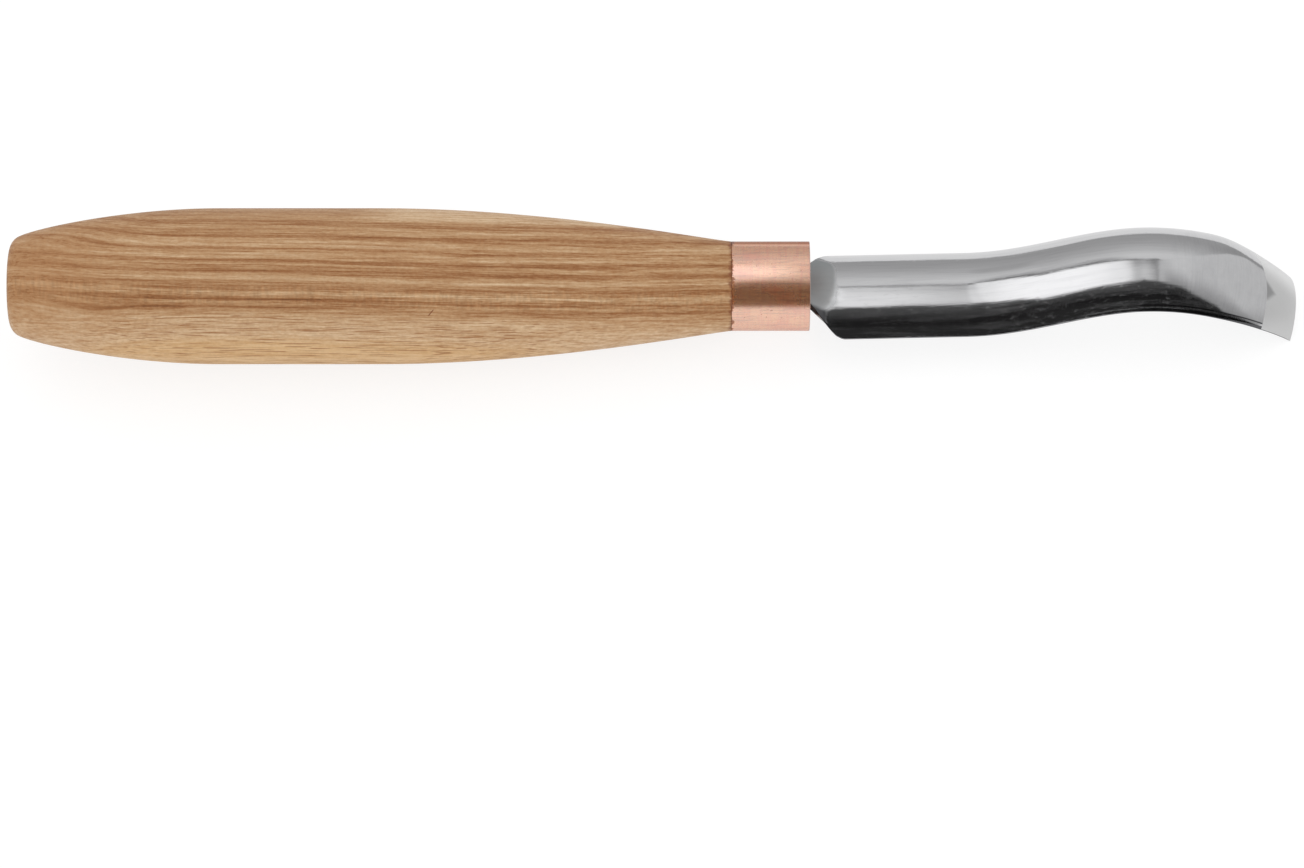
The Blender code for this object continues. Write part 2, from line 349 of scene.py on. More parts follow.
GROWTH_TILT = math.radians(-25)  # way across the growth layers, from level towards the camera
# The deepest layers, along the bottom edge on the near side, are pale wood painted paler still as painted
# light from the table below.
GROWTH_RINGS = [
    (-12.2, 0.42), (-9.2, 0.50), (-8.3, 0.20), (-7.8, 0.40), (-7.1, 0.58), (-6.4, 0.48), (-5.8, 0.10),
    (-5.4, 0.42), (-4.6, 0.70), (-4.1, 0.58), (-3.7, 0.28), (-3.2, 0.48), (-2.5, 0.68), (-2.1, 0.40),
    (-1.8, 0.06), (-1.45, 0.26), (-1.1, 0.58), (-0.6, 0.42), (-0.05, 0.08), (0.4, 0.46), (1.1, 0.78),
    (1.6, 0.50), (2.15, 0.12), (2.6, 0.34), (3.3, 0.74), (3.75, 0.36), (4.15, 0.08), (4.75, 0.40),
    (5.35, 0.20), (6.1, 0.60), (7.3, 0.78), (12.2, 0.92),
]  # depth in mm and paleness
GRAIN_LEAN = [
    (0, -2.4), (3, -2.2), (7, -1.8), (11, -1.35), (15, -0.95), (20, -0.65), (27, -0.25), (46, 0),
    (60, 0.35), (72, 0.6), (93, 0.6), (100, 0.35), (107, 0.12), (113, -0.15),
]  # place along the handle and drift of the layers, in mm
LEAN_LOWEST = -3  # a ramp holds 0 to 1, so a drift is read as a share of the reach above this, in mm
LEAN_REACH = 4
NICK_PLACE = 66.2  # along the handle, in mm
NICK_DEPTH = 5.6  # among the layers, in mm
UMBER = tint(96, 60, 36)
BROWN = tint(148, 96, 54)
TAN = tint(184, 143, 102)
PALE = tint(217, 188, 152)
WARM = tint(178, 131, 88)
HONEY = tint(216, 172, 110)
STAIN = tint(128, 72, 44)


def ash_finish():
    """Oiled ash: growth layers nearly edge-on to the eye, long fibres, open pores and short rays."""
    material, shader, start = new_finish("oiled_ash")
    x, y, z = start.place_in_mm()
    across = -math.cos(GROWTH_TILT) * y + math.sin(GROWTH_TILT) * z
    round_ = math.sin(GROWTH_TILT) * y + math.cos(GROWTH_TILT) * z
    leans = [(at, (drift - LEAN_LOWEST) / LEAN_REACH) for at, drift in GRAIN_LEAN]
    lean = LEAN_REACH * x.read(leans) + LEAN_LOWEST
    # The layers drift along the handle and part towards both sides at the butt.
    depth = across - lean + 1.3 * across.step(-3.5, -7) * x.step(24, 8)
    depth = depth - 2.0 * across.step(2.5, 7.5) * x.step(32, 3)
    grain = start.together(x, depth, round_)
    sway = grain.cloud((0.02, 0.22, 0.1), 2.0) - 0.5
    ripple = grain.cloud((0.08, 0.7, 0.3), 3.0) - 0.5
    layer = depth + 0.55 * sway + 0.32 * ripple
    lower = layer.step(5.2, 7.4)  # the pale wood along the near side, made paler towards the bottom edge as painted light from below
    fade = grain.cloud((0.025, 0.7, 0.5), 2.0, 0.55)
    rest = 0.44 + 0.2 * lower
    tone = rest + (layer.read(GROWTH_RINGS) - rest) * (0.2 + 1.1 * fade)
    streak = grain.cloud((0.022, 2.2, 0.3), 4.0, 0.66) - 0.5
    fibre = grain.cloud((0.14, 4.4, 0.9), 2.0, 0.6) - 0.5
    fleck = grain.cloud((1.3, 4.4, 1.4), 2.0, 0.6, (5.0, 2.0, 7.0)) - 0.5
    tone = tone + (1.4 - 0.5 * lower) * streak + 0.95 * fibre + 0.6 * fleck
    tone = tone + 0.35 * depth.step(-8.6, -9.8) * x.step(50, 64) - 0.04
    colour = start.mix(tone.step(-0.1, 0.6), BROWN, TAN)
    colour = start.mix(tone.step(0.4, 1.1), colour, PALE)
    colour = start.mix(0.6 * tone.step(0.1, -0.3), colour, UMBER)
    colour = start.mix(0.5 * x.step(26, 2) * (1 - 0.6 * lower), colour, WARM)
    colour = start.mix(0.4 * layer.step(8.8, 11.0), colour, HONEY)
    vessels = start.together(x, across - 0.4 * lean, round_)
    pores = vessels.cloud((0.2, 5.2, 3.6), 1.0, 0.4, (3.0, 8.0, 1.0)).step(0.57, 0.65)
    in_pale_wood = (0.4 + 0.5 * x.step(8, 24) * x.step(98, 78)) * lower
    pores = pores * (0.3 + 0.5 * tone.step(0.5, 0.2)).larger(in_pale_wood)
    rays = grain.cloud((2.3, 0.5, 1.6), 1.0, 0.5) - 0.5
    rays = rays * (0.3 + 0.7 * layer.band(2.6, 4.6, 0.8))
    colour = start.mix(0.75 * pores, colour, BROWN)
    past_nick = x - NICK_PLACE
    below_nick = depth - NICK_DEPTH
    nick = abs(past_nick * 0.74 + below_nick * 0.67).step(0.11, 0.05)
    nick = nick * abs(below_nick * 0.74 - past_nick * 0.67).step(0.75, 0.4)
    colour = start.mix(0.85 * nick, colour, STAIN)
    shade = 1.0 + 0.45 * rays
    colour = start.mix(1.0, colour, start.together(shade, shade, shade), "MULTIPLY")
    worn = 2.6 * grain.cloud((0.3, 1.1, 1.1), 4.0, 0.75) - 1.4
    rim = (x + worn).step(WOOD_END / MM - 0.7, WOOD_END / MM - 0.1)
    colour = start.mix(0.8 * rim, colour, STAIN)
    height = streak * 0.6 + fibre * 0.5 - pores
    normal = start.bump(height, 0.3, 0.05 * MM)
    rough = 0.5 + 0.16 * pores - 0.1 * fibre
    feed(shader, Base_Color=colour, Roughness=rough, Normal=normal, Specular_IOR_Level=0.25)
    return material


handle = turn_on_lathe(handle_outline(), HANDLE_SIDES)
fray_rim(handle)
mortise = tapered_bar(
    glue_low.x - FIT_GAP,
    TENON_END + 2 * FIT_GAP,
    TANG_TIP_HALF_WIDTH + GLUE_BED + FIT_GAP,
    glue_high.y + FIT_GAP,
    glue_high.z + FIT_GAP,
)
cut_with(handle, mortise)
bpy.ops.object.shade_smooth_by_angle(angle=SMOOTH_ANGLE)
finish_piece(handle, "turned_handle", ash_finish())
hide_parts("handle")

# Ferrule: a short cut of drawn copper tube, deburred at both ends and pressed over the tenon.
# It stops the wood from splitting when the tang is driven in.
FERRULE_EDGE_ROUND = 0.08 * MM
FERRULE_EDGE_STEPS = 5
COPPER = tint(255, 168, 92)
COPPER_RED = tint(248, 134, 64)
TARNISH_AND_SHADE = tint(112, 54, 32)
COPPER_RIM = tint(214, 176, 156)
COPPER_START = ferrule_low.x / MM
COPPER_END = ferrule_high.x / MM
COPPER_METAL = 0.66
FAR_SIDE_SHADE = (4.6, 9.5)  # strip of painted shade along the far side, in mm round the tube from its top line
FILM_IOR = 4.6  # the bright film on the brushed metal is a coat that mirrors strongly
FILM_ROUGHNESS = 0.23


def copper_finish():
    """Copper brushed round the tube, reddened in patches, specked and streaked with dark tarnish, with
    painted shade along its far side.
    """
    material, shader, start = new_finish("brushed_copper")
    x, y, z = start.place_in_mm()
    turn = start.maths("ARCTAN2", y, z) * (FERRULE_RADIUS / MM)
    skin = start.together(x, turn, 0.0)
    brushing = skin.cloud((2.2, 0.16, 1.0), 3.0, 0.7)
    drawing = skin.cloud((0.1, 2.2, 1.0), 3.0, 0.65, (0.0, 4.0, 2.0))
    patches = skin.cloud((0.16, 0.3, 1.0), 3.0, 0.55)
    specks = skin.cloud((1.3, 2.0, 1.0), 3.0, 0.7).step(0.61, 0.72)
    worn = 3.6 * skin.cloud((0.4, 0.6, 1.0), 4.0, 0.75) - 1.9
    back_edge = (x + worn).step(COPPER_START + 0.25, COPPER_START - 0.1)
    front_edge = x.step(COPPER_END - 0.25, COPPER_END - 0.05)
    streaks = skin.cloud((0.4, 3.2, 1.0), 3.0, 0.7, (7.0, 1.0, 0.0)).step(0.5, 0.66)
    # Painted shade: a band along the far side of the tube is painted dark and loses its coat.
    far_side_shade = turn.band(*FAR_SIDE_SHADE, 1.2)
    colour = start.mix(patches.step(0.45, 0.75), COPPER, COPPER_RED)
    colour = start.mix(0.7 * brushing.step(0.42, 0.65), colour, COPPER_RED)
    # Beside drawing lines and streaks, this dark share also holds the painted shade of the far side.
    drawn = (0.45 * drawing.step(0.48, 0.72)).larger(0.35 * streaks).larger(0.75 * far_side_shade)
    colour = start.mix(drawn, colour, TARNISH_AND_SHADE)
    colour = start.mix((0.6 * specks).larger(0.75 * back_edge).larger(0.35 * front_edge), colour, TARNISH_AND_SHADE)
    rough = 0.2 + 0.1 * brushing + 0.12 * patches.step(0.5, 0.7) + 0.2 * specks.larger(back_edge)
    normal = start.bump(brushing * 0.6 + drawing * 0.4 - streaks * 0.3, 0.2, 0.04 * MM)
    metal = COPPER_METAL - 0.3 * back_edge
    bare_and_shaded = (0.8 * back_edge).larger(0.35 * specks).larger(0.08 * streaks).larger(0.8 * far_side_shade)
    feed(shader, Base_Color=colour, Roughness=rough, Normal=normal, Metallic=metal)
    feed(shader, Specular_Tint=COPPER_RIM)
    feed(shader, Coat_Weight=1.0 - bare_and_shaded, Coat_Roughness=FILM_ROUGHNESS, Coat_IOR=FILM_IOR)
    return material


deselect_all()
bpy.ops.mesh.primitive_cylinder_add(
    vertices=HANDLE_SIDES,
    radius=FERRULE_RADIUS,
    depth=ferrule_high.x - ferrule_low.x,
    end_fill_type="NOTHING",
    location=((ferrule_low.x + ferrule_high.x) / 2, 0, 0),
    rotation=(0, math.pi / 2, 0),
)
ferrule = bpy.context.object
bpy.ops.object.transform_apply(location=True, rotation=True, scale=True)
tube_wall = ferrule.modifiers.new("wall", "SOLIDIFY")
tube_wall.thickness = FERRULE_WALL
tube_wall.offset = -1
bpy.ops.object.modifier_apply(modifier=tube_wall.name)
rounding = ferrule.modifiers.new("rounding", "BEVEL")
rounding.width = FERRULE_EDGE_ROUND
rounding.segments = FERRULE_EDGE_STEPS
rounding.limit_method = "ANGLE"
rounding.angle_limit = math.radians(60)
bpy.ops.object.modifier_apply(modifier=rounding.name)
bpy.ops.object.shade_smooth_by_angle(angle=SMOOTH_ANGLE)
finish_piece(ferrule, "copper_ferrule", copper_finish())
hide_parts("ferrule")

# Glue: the resin that beds the tang in the mortise. It was poured in runny and has set hard, with a
# slightly sunken skin where it shows round the neck of the blade.
AMBER = tint(150, 108, 58)
AMBER_DEEP = tint(96, 62, 30)
GLUE_SPREAD = 0.9 * FIT_GAP  # the glue fills the mortise but for a hair
GLUE_LIP = 0.5 * MM
GLUE_SINK = 0.15 * MM


def glue_finish():
    """Amber resin with darker clouds and a few pinholes."""
    material, shader, start = new_finish("set_resin")
    place = start.node("TexCoord", {}, {}, "Object")
    clouds = place.cloud((500, 700, 700), 3.0, 0.6)
    holes = place.cloud((2600, 2600, 2600), 0.0).step(0.7, 0.76)
    colour = start.mix(clouds.step(0.4, 0.65), AMBER, AMBER_DEEP)
    colour = start.mix(0.8 * holes, colour, AMBER_DEEP)
    normal = start.bump(clouds * 0.4 - holes, 0.3, 0.08 * MM)
    feed(shader, Base_Color=colour, Roughness=0.22 + 0.2 * clouds, Normal=normal)
    return material


glue = tapered_bar(
    glue_low.x,
    glue_high.x,
    TANG_TIP_HALF_WIDTH + GLUE_BED,
    glue_high.y + GLUE_SPREAD,
    glue_high.z + GLUE_SPREAD,
)
for vertex in glue.data.vertices:
    vertex.select = vertex.co.x > glue_high.x - GLUE_SINK
bpy.ops.object.mode_set(mode="EDIT")
bpy.ops.mesh.select_mode(type="FACE")
bpy.ops.mesh.inset(thickness=GLUE_LIP)
bpy.ops.transform.translate(value=(-GLUE_SINK, 0, 0))
bpy.ops.object.mode_set(mode="OBJECT")
bpy.ops.object.shade_smooth_by_angle(angle=SMOOTH_ANGLE)
finish_piece(glue, "resin_bed", glue_finish())
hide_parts("tang_adhesive")

# Blade: one steel forging. A flat bar is drawn out to a tang and a neck, the rest is pressed to a
# channel and bent, then the back is polished and the tip ground across to a bevel on the outside.
blade_low, blade_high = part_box("blade")
SEAT = TENON_END + FIT_GAP
TANG_LENGTH = SEAT - blade_low.x
TANG_ROOT_HALF_WIDTH = glue_high.y - GLUE_BED
TANG_STEP = 0.25 * MM
NECK_HALF_WIDTH = 3.9 * MM
NECK_LENGTH = 4.5 * MM
SHOULDER_LENGTH = 5.8 * MM
SHOULDER_ROUNDING = 0.3
ROLL_START = 0.3 * MM
ROLL_LENGTH = 4.0 * MM
CREST_REACH = 4.25 * MM  # from the seat to the crest where the flat of the neck meets the round back
CREST_CENTRE = 0.15 * MM
CREST_SWEEP = 7.6e6  # how fast the crest draws back towards the edges, per cubic metre
CREST_RAMP = 1.2 * MM
CREST_SHARE = 0.15
PLATE_THICKNESS = 2.2 * MM
HOLLOW_RADIUS = 7.3 * MM
HOLLOW_HALF_ARC = HOLLOW_RADIUS * math.radians(58.3)
SHANK_LENGTH = 20.2 * MM
SHANK_RISE = math.radians(2.15)
HUMP = Vector((28.7, 6.84)) * MM
HUMP_START_EASE = 10.3 * MM
HUMP_TOP_EASE = 10.5 * MM
DIP = Vector((23.095, -9.15)) * MM
DIP_START_EASE = 11.5 * MM
DIP_END_EASE = 3.6 * MM
EDGE_SLOPE = math.radians(39)
BEVEL_LENGTH = 6.8 * MM
HEEL_THICKNESS = 1.4 * MM
THINNING_LENGTH = 8.0 * MM
THINNING_DELAY = 1.5
EDGE_THICKNESS = 0.05 * MM
HEEL_SWEEP = 25.0  # how fast the heel of the bevel draws back towards the far side, per metre
HEEL_SWEEP_START = -4.0 * MM
HEEL_SWEEP_MOST = 1.5 * MM
EDGE_LEAN = math.tan(math.radians(25))
LEAN_LENGTH = 20.0 * MM
RIM_ROUND = 0.15 * MM
BACK_COLUMNS = 56
RIM_STEPS = 4
PATH_STEPS = 400


def eased(share):
    share = min(max(share, 0), 1)
    return share * share * (3 - 2 * share)


def blade_path():
    """Floor of the hollow as (place, height) points from the end of the tang to the cutting edge."""
    floor = -TANG_THICKNESS / 2
    shank_start = Vector((SEAT + NECK_LENGTH, floor))
    shank_way = Vector((math.cos(SHANK_RISE), math.sin(SHANK_RISE)))
    bend = shank_start + SHANK_LENGTH * shank_way
    hump = bend + HUMP
    edge = hump + DIP
    edge_way = Vector((math.cos(EDGE_SLOPE), -math.sin(EDGE_SLOPE)))
    level = Vector((1, 0))
    rise = curve(bend, bend + HUMP_START_EASE * shank_way, hump - HUMP_TOP_EASE * level, hump, PATH_STEPS)
    dip = curve(hump, hump + DIP_START_EASE * level, edge - DIP_END_EASE * edge_way, edge, PATH_STEPS)
    return [Vector((blade_low.x, floor)), shank_start] + rise + dip[1:]


def walk_path(points, distances):
    """The point and the direction of the path at each of the rising distances."""
    found = []
    walked = 0.0
    i = 0
    for distance in distances:
        while i < len(points) - 2 and walked + (points[i + 1] - points[i]).length < distance:
            walked += (points[i + 1] - points[i]).length
            i += 1
        leg = points[i + 1] - points[i]
        found.append((points[i] + (distance - walked) * leg.normalized(), leg.normalized()))
    return found


def plate_half_width(distance):
    """Half the width of the plate, measured round the hollow."""
    beyond = distance - TANG_LENGTH
    if beyond <= 0:
        share = distance / TANG_LENGTH
        return TANG_TIP_HALF_WIDTH + share * (TANG_ROOT_HALF_WIDTH - TANG_TIP_HALF_WIDTH)
    share = min((beyond - TANG_STEP) / (SHOULDER_LENGTH - TANG_STEP), 1)
    bend = 1 / (2 * SHOULDER_ROUNDING - SHOULDER_ROUNDING**2)
    if share < 1 - SHOULDER_ROUNDING:
        spread = 2 * bend * SHOULDER_ROUNDING * share
    else:
        spread = 1 - bend * (1 - share) ** 2
    return NECK_HALF_WIDTH + spread * (HOLLOW_HALF_ARC - NECK_HALF_WIDTH)


def plate_thickness(distance, across, length):
    """The neck is thinner than the channel up to a curved crest; the back is ground away at the tip."""
    heel = length - BEVEL_LENGTH
    if distance >= heel:
        return HEEL_THICKNESS + (distance - heel) / BEVEL_LENGTH * (EDGE_THICKNESS - HEEL_THICKNESS)
    crest = TANG_LENGTH + CREST_REACH - CREST_SWEEP * (across - CREST_CENTRE) ** 4
    ramp = min(max((distance - crest + CREST_RAMP) / CREST_RAMP, 0), 1) ** 2
    ramp = CREST_SHARE * ramp + (1 - CREST_SHARE) * eased((distance - TANG_LENGTH) / NECK_LENGTH)
    ground = max(1 - (heel - distance) / THINNING_LENGTH, 0) ** THINNING_DELAY
    full = TANG_THICKNESS + ramp * (PLATE_THICKNESS - TANG_THICKNESS)
    return full - ground * (PLATE_THICKNESS - HEEL_THICKNESS)


def plate_section(distance, length):
    """Points round the plate as (across, lift): over the back, down an edge, under the hollow, up again."""
    half = plate_half_width(distance)
    edge_thickness = plate_thickness(distance, half, length)
    turn = min(RIM_ROUND, 0.45 * edge_thickness)
    flat = half - turn
    back = [flat * (2 * i / BACK_COLUMNS - 1) for i in range(BACK_COLUMNS + 1)]
    quarter = [math.pi / 2 * i / RIM_STEPS for i in range(RIM_STEPS + 1)]
    top = edge_thickness - turn
    near_down = [(flat + turn * math.sin(a), top + turn * math.cos(a)) for a in quarter[1:]]
    near_under = [(flat + turn * math.cos(a), turn - turn * math.sin(a)) for a in quarter[:-1]]
    down = near_down + near_under
    up = [(-across, lift) for across, lift in reversed(down)]
    over = [(across, plate_thickness(distance, across, length)) for across in back]
    under = [(across, 0.0) for across in reversed(back)]
    return over + down + under + up + over[:1]


def span_rows(start, end, step):
    count = max(round((end - start) / step), 1)
    return [start + (end - start) * i / count for i in range(count)]


def blade_rows(length):
    """Distances of the cross rows along the path, close together where the shape turns sharply."""
    seat = TANG_LENGTH
    heel = length - BEVEL_LENGTH
    rows = span_rows(0, seat, 11.5 * MM)
    rows += [seat, seat + 0.5 * TANG_STEP]
    rows += span_rows(seat + TANG_STEP, seat + SHOULDER_LENGTH, 0.12 * MM)
    rows += span_rows(seat + SHOULDER_LENGTH, seat + NECK_LENGTH + SHANK_LENGTH, 0.9 * MM)
    rows += span_rows(seat + NECK_LENGTH + SHANK_LENGTH, heel - 0.2 * MM, 0.45 * MM)
    rows += [heel + offset * MM for offset in (-0.2, -0.08, -0.025, 0.025, 0.08, 0.2)]
    rows += span_rows(heel + 0.4 * MM, length - 0.1 * MM, 0.45 * MM)
    return rows + [length - 0.1 * MM, length]


def wave(value):
    """sin(value) / value"""
    return math.sin(value) / value if value else 1.0


def roll_plate(distance, across, lift, floor, way, length):
    """Where a point of the flat plate comes to lie once the plate is rolled to a channel and bent."""
    share = min(max((distance - TANG_LENGTH - ROLL_START) / ROLL_LENGTH, 0), 1)
    bow = (1 - (1 - share) ** 2) / HOLLOW_RADIUS
    turn = across * bow
    sag = bow * across**2 / 2 * wave(turn / 2) ** 2
    side = across * wave(turn) + lift * math.sin(turn)
    drop = sag - lift * math.cos(turn)
    lead = sag * EDGE_LEAN * eased(1 - (length - distance) / LEAN_LENGTH)
    swept = min(HEEL_SWEEP * max(across - HEEL_SWEEP_START, 0) ** 2, HEEL_SWEEP_MOST)
    lead -= swept * eased(1 - abs(length - distance - BEVEL_LENGTH) / BEVEL_LENGTH)
    return (
        floor.x + lead * way.x + drop * way.y,
        side,
        floor.y + lead * way.y - drop * way.x,
    )


path = blade_path()
path_length = sum((after - before).length for before, after in zip(path, path[1:]))
rows = blade_rows(path_length)
sections = [plate_section(distance, path_length) for distance in rows]
ring = len(sections[0])
deselect_all()
bpy.ops.mesh.primitive_grid_add(x_subdivisions=len(rows) - 1, y_subdivisions=ring - 1, size=2)
blade = bpy.context.object
for name in ("along", "across", "outside", "rim"):
    blade.data.attributes.new(name, "FLOAT", "POINT")
marks = blade.data.attributes
on_path = walk_path(path, rows)
for vertex in blade.data.vertices:
    row = round((vertex.co.x + 1) / 2 * (len(rows) - 1))
    column = round((vertex.co.y + 1) / 2 * (ring - 1))
    across, lift = sections[row][column]
    floor, way = on_path[row]
    vertex.co = roll_plate(rows[row], across, lift, floor, way, path_length)
    marks["along"].data[vertex.index].value = (rows[row] - TANG_LENGTH) / MM
    marks["across"].data[vertex.index].value = across / MM
    marks["outside"].data[vertex.index].value = float(lift > 0)
    marks["rim"].data[vertex.index].value = float(BACK_COLUMNS < column % (ring // 2) < ring // 2)
bpy.ops.object.mode_set(mode="EDIT")
bpy.ops.mesh.select_all(action="SELECT")
bpy.ops.mesh.remove_doubles(threshold=0.002 * MM)
bpy.ops.mesh.select_mode(type="EDGE")
bpy.ops.mesh.select_all(action="DESELECT")
bpy.ops.mesh.select_non_manifold()
bpy.ops.mesh.fill_holes(sides=0)
bpy.ops.mesh.select_all(action="SELECT")
bpy.ops.mesh.normals_make_consistent(inside=False)
bpy.ops.object.mode_set(mode="OBJECT")
bpy.ops.object.shade_smooth_by_angle(angle=math.radians(50))

STEEL = (0.70, 0.70, 0.71, 1.0)
STEEL_DULL = (0.56, 0.56, 0.575, 1.0)
STEEL_NECK = (0.315, 0.338, 0.345, 1.0)
STEEL_BEVEL = (0.64, 0.64, 0.64, 1.0)
STEEL_DARK = (0.07, 0.07, 0.075, 1.0)
STEEL_BEVEL_LIT = (0.80, 0.80, 0.80, 1.0)
# Places on the steel in mm: along from the seat, across from the middle line with the near side below 0.
HEEL = (path_length - TANG_LENGTH - BEVEL_LENGTH) / MM
WEDGE_REACH = 1.5
WEDGE_ACROSS = -2.1
LINES_START = 53
LINE_ACROSS = -6.55
EDGE_LINE_ACROSS = -6.9
SCRATCH_ALONG = (44, 58)
TIP_START = 54
TIP_FULL = 60
FLAT_ALONG = (28.5, 33.5)
FLAT_CENTRE = -2.4
FLAT_LOWEST = -4.2


def steel_finish():
    """Steel polished along the blade, dull on the flat of the neck, honed on the bevel, with painted shade
    past the neck's crest and painted light on the bevel's far side.
    """
    material, shader, start = new_finish("polished_steel")
    place = start.node("TexCoord", {}, {}, "Object")
    way = start.node("Attribute", {"attribute_name": "along"}, {}, 2)
    side = start.node("Attribute", {"attribute_name": "across"}, {}, 2)
    back = start.node("Attribute", {"attribute_name": "outside"}, {}, 2)
    rim = start.node("Attribute", {"attribute_name": "rim"}, {}, 2)
    skin = start.together(way, side, 0.0)
    polish = skin.cloud((0.09, 1.7, 1.0), 4.0, 0.65)
    off_crest = side - CREST_CENTRE / MM
    off_crest = off_crest * off_crest
    crest = CREST_REACH / MM - CREST_SWEEP * MM**3 * off_crest * off_crest
    # The flat of the neck is dull steel; on the near side its dark colour spreads softly past the crest as
    # painted shade.
    blend = 1 + 2.2 * side.step(0.5, -3)
    neck = ((way - crest) / blend + 0.5 * (polish - 0.5)).step(0.5, -0.45)
    bevel = (way - HEEL).step(-0.03, 0.03)
    inner = 1 - back
    dull = bevel.larger(inner)
    grinding = skin.cloud((2.6, 0.2, 1.0), 4.0, 0.7)
    smudges = skin.cloud((0.7, 1.9, 1.0), 5.0, 0.75).step(0.53, 0.68)
    # Dark marks: a wedge on the bevel, the near shoulder and two lines along the near edge.
    wedge = WEDGE_REACH - 0.75 * (way - HEEL) - abs(side - WEDGE_ACROSS)
    wedge = wedge.step(-0.3, 0.7) * bevel
    wing = way.step(3.6, 2.4) * side.step(-3.5, -4.3)
    edge_line = side.step(EDGE_LINE_ACROSS + 0.05, EDGE_LINE_ACROSS - 0.05)
    lines = abs(side - LINE_ACROSS).step(0.12, 0.05).larger(edge_line)
    lines = lines * way.band(LINES_START, HEEL - 0.1, 2.5) * back * (1 - bevel)
    scratch = abs(side - EDGE_LINE_ACROSS).step(0.1, 0.04) * way.band(*SCRATCH_ALONG, 3)
    tip = way.step(TIP_START, TIP_FULL) * (1 - dull)
    rough = 0.05 + 0.06 * polish + 0.12 * smudges * (1 - tip) + 0.04 * tip * grinding
    rough = rough + dull * (0.24 + 0.1 * grinding) + neck * (0.4 + 0.2 * polish) + rim * 0.2
    # Painted light: the bevel is painted lighter towards its far side, darker towards the near side.
    colour = start.mix(side.step(2.5, -1.5), STEEL_BEVEL_LIT, STEEL_BEVEL)
    colour = start.mix(bevel, STEEL, colour)
    colour = start.mix(0.4 * polish.step(0.4, 0.75) * (1 - dull) * (1 - 0.8 * tip), colour, STEEL_DULL)
    colour = start.mix(inner * (0.3 + 0.4 * grinding), colour, STEEL_DULL)
    colour = start.mix(neck * (0.78 + 0.12 * side.step(1.5, 3.5)), colour, STEEL_NECK)
    mottle = 0.35 * skin.cloud((0.5, 0.4, 1.0), 5.0, 0.7).step(0.35, 0.75)
    colour = start.mix(tip * (mottle + 0.3 * grinding.step(0.35, 0.75)), colour, STEEL_DULL)
    dark = (0.85 * rim).larger(0.5 * wedge).larger(0.93 * wing).larger(0.9 * lines)
    colour = start.mix(dark, colour, STEEL_DARK)
    waviness = place.cloud((60, 160, 160), 1.0, 0.4)
    normal = start.bump(waviness, 1.0, 0.06 * MM)
    # A stretch of the rising back is polished a little flatter.
    flat = way.band(*FLAT_ALONG, 4.0) * side.step(1.5, 0.5)
    low = side.larger(FLAT_LOWEST)
    tilt = 0.0194 * (low - FLAT_CENTRE) - 0.0078 * (low * low - FLAT_CENTRE**2)
    normal = start.bump(flat * tilt, 1.0, MM, normal)
    scratches = 0.5 * polish * (1 - dull) * (1 - 0.5 * tip) + grinding * dull.larger(0.18 * tip)
    normal = start.bump(scratches, 0.8, 0.03 * MM, normal)
    worn = 0.15 + 0.85 * way.step(24, 32)
    dust = (0.08 * smudges * worn + 0.04 * polish.step(0.45, 0.7)) * side.step(-2.5, -4)
    dust = dust.larger(0.1 * scratch)
    metal = 1.0 - 0.4 * bevel - 0.5 * neck - dust * back
    feed(shader, Base_Color=colour, Roughness=rough, Normal=normal, Metallic=metal)
    return material


finish_piece(blade, "bent_blade", steel_finish())
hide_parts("blade")

# Studio: a white table under a long softbox, with a small lit card over the ferrule. Round it, for
# reflections alone, the world has a lamp overhead, a grey wall behind and a dark room in front.
# The tool lies on the belly of its grip and on the two corners of its edge.
TIP_LENGTH = 3 * MM
BELLY_PLACE = 65 * MM
tip_points = [vertex.co for vertex in blade.data.vertices if vertex.co.x > blade_high.x - TIP_LENGTH]
edge_corner = min(tip_points, key=lambda point: point.z)
belly = Vector((BELLY_PLACE, 0, handle_low.z))
WHITE = (1, 1, 1, 1)
TABLE_LEFT = -2.0
TABLE_RIGHT = blade_high.x + 27 * MM
TABLE_FRONT = -2.0
TABLE_BACK = 250 * MM
TABLE_PAINT = (0.82, 0.82, 0.82, 1)
TABLE_SHADED = (0.25, 0.25, 0.25, 1)
TABLE_TO_THE_EYE = 0.8
TABLE_IN_STEEL = 0.62
TABLE_GLOW = 0.25
table_slope = math.atan2(edge_corner.z - belly.z, edge_corner.x - belly.x)
deselect_all()
bpy.ops.mesh.primitive_plane_add(size=1, location=belly, rotation=(0, -table_slope, 0))
table = bpy.context.object
table.name = "table"
bpy.ops.object.transform_apply(location=True, rotation=True, scale=True)
for corner in table.data.vertices:
    corner.co.y = TABLE_BACK if corner.co.y > 0 else TABLE_FRONT
    corner.co.x = TABLE_RIGHT if corner.co.x > belly.x else TABLE_LEFT
    corner.co.z = belly.z + (corner.co.x - belly.x) * math.tan(table_slope)


def bare_finish(name):
    """A material without a shader, and a wire to start from."""
    material = bpy.data.materials.new(name)
    material.use_nodes = True
    material.node_tree.nodes.clear()
    return material, Wire(material.node_tree)


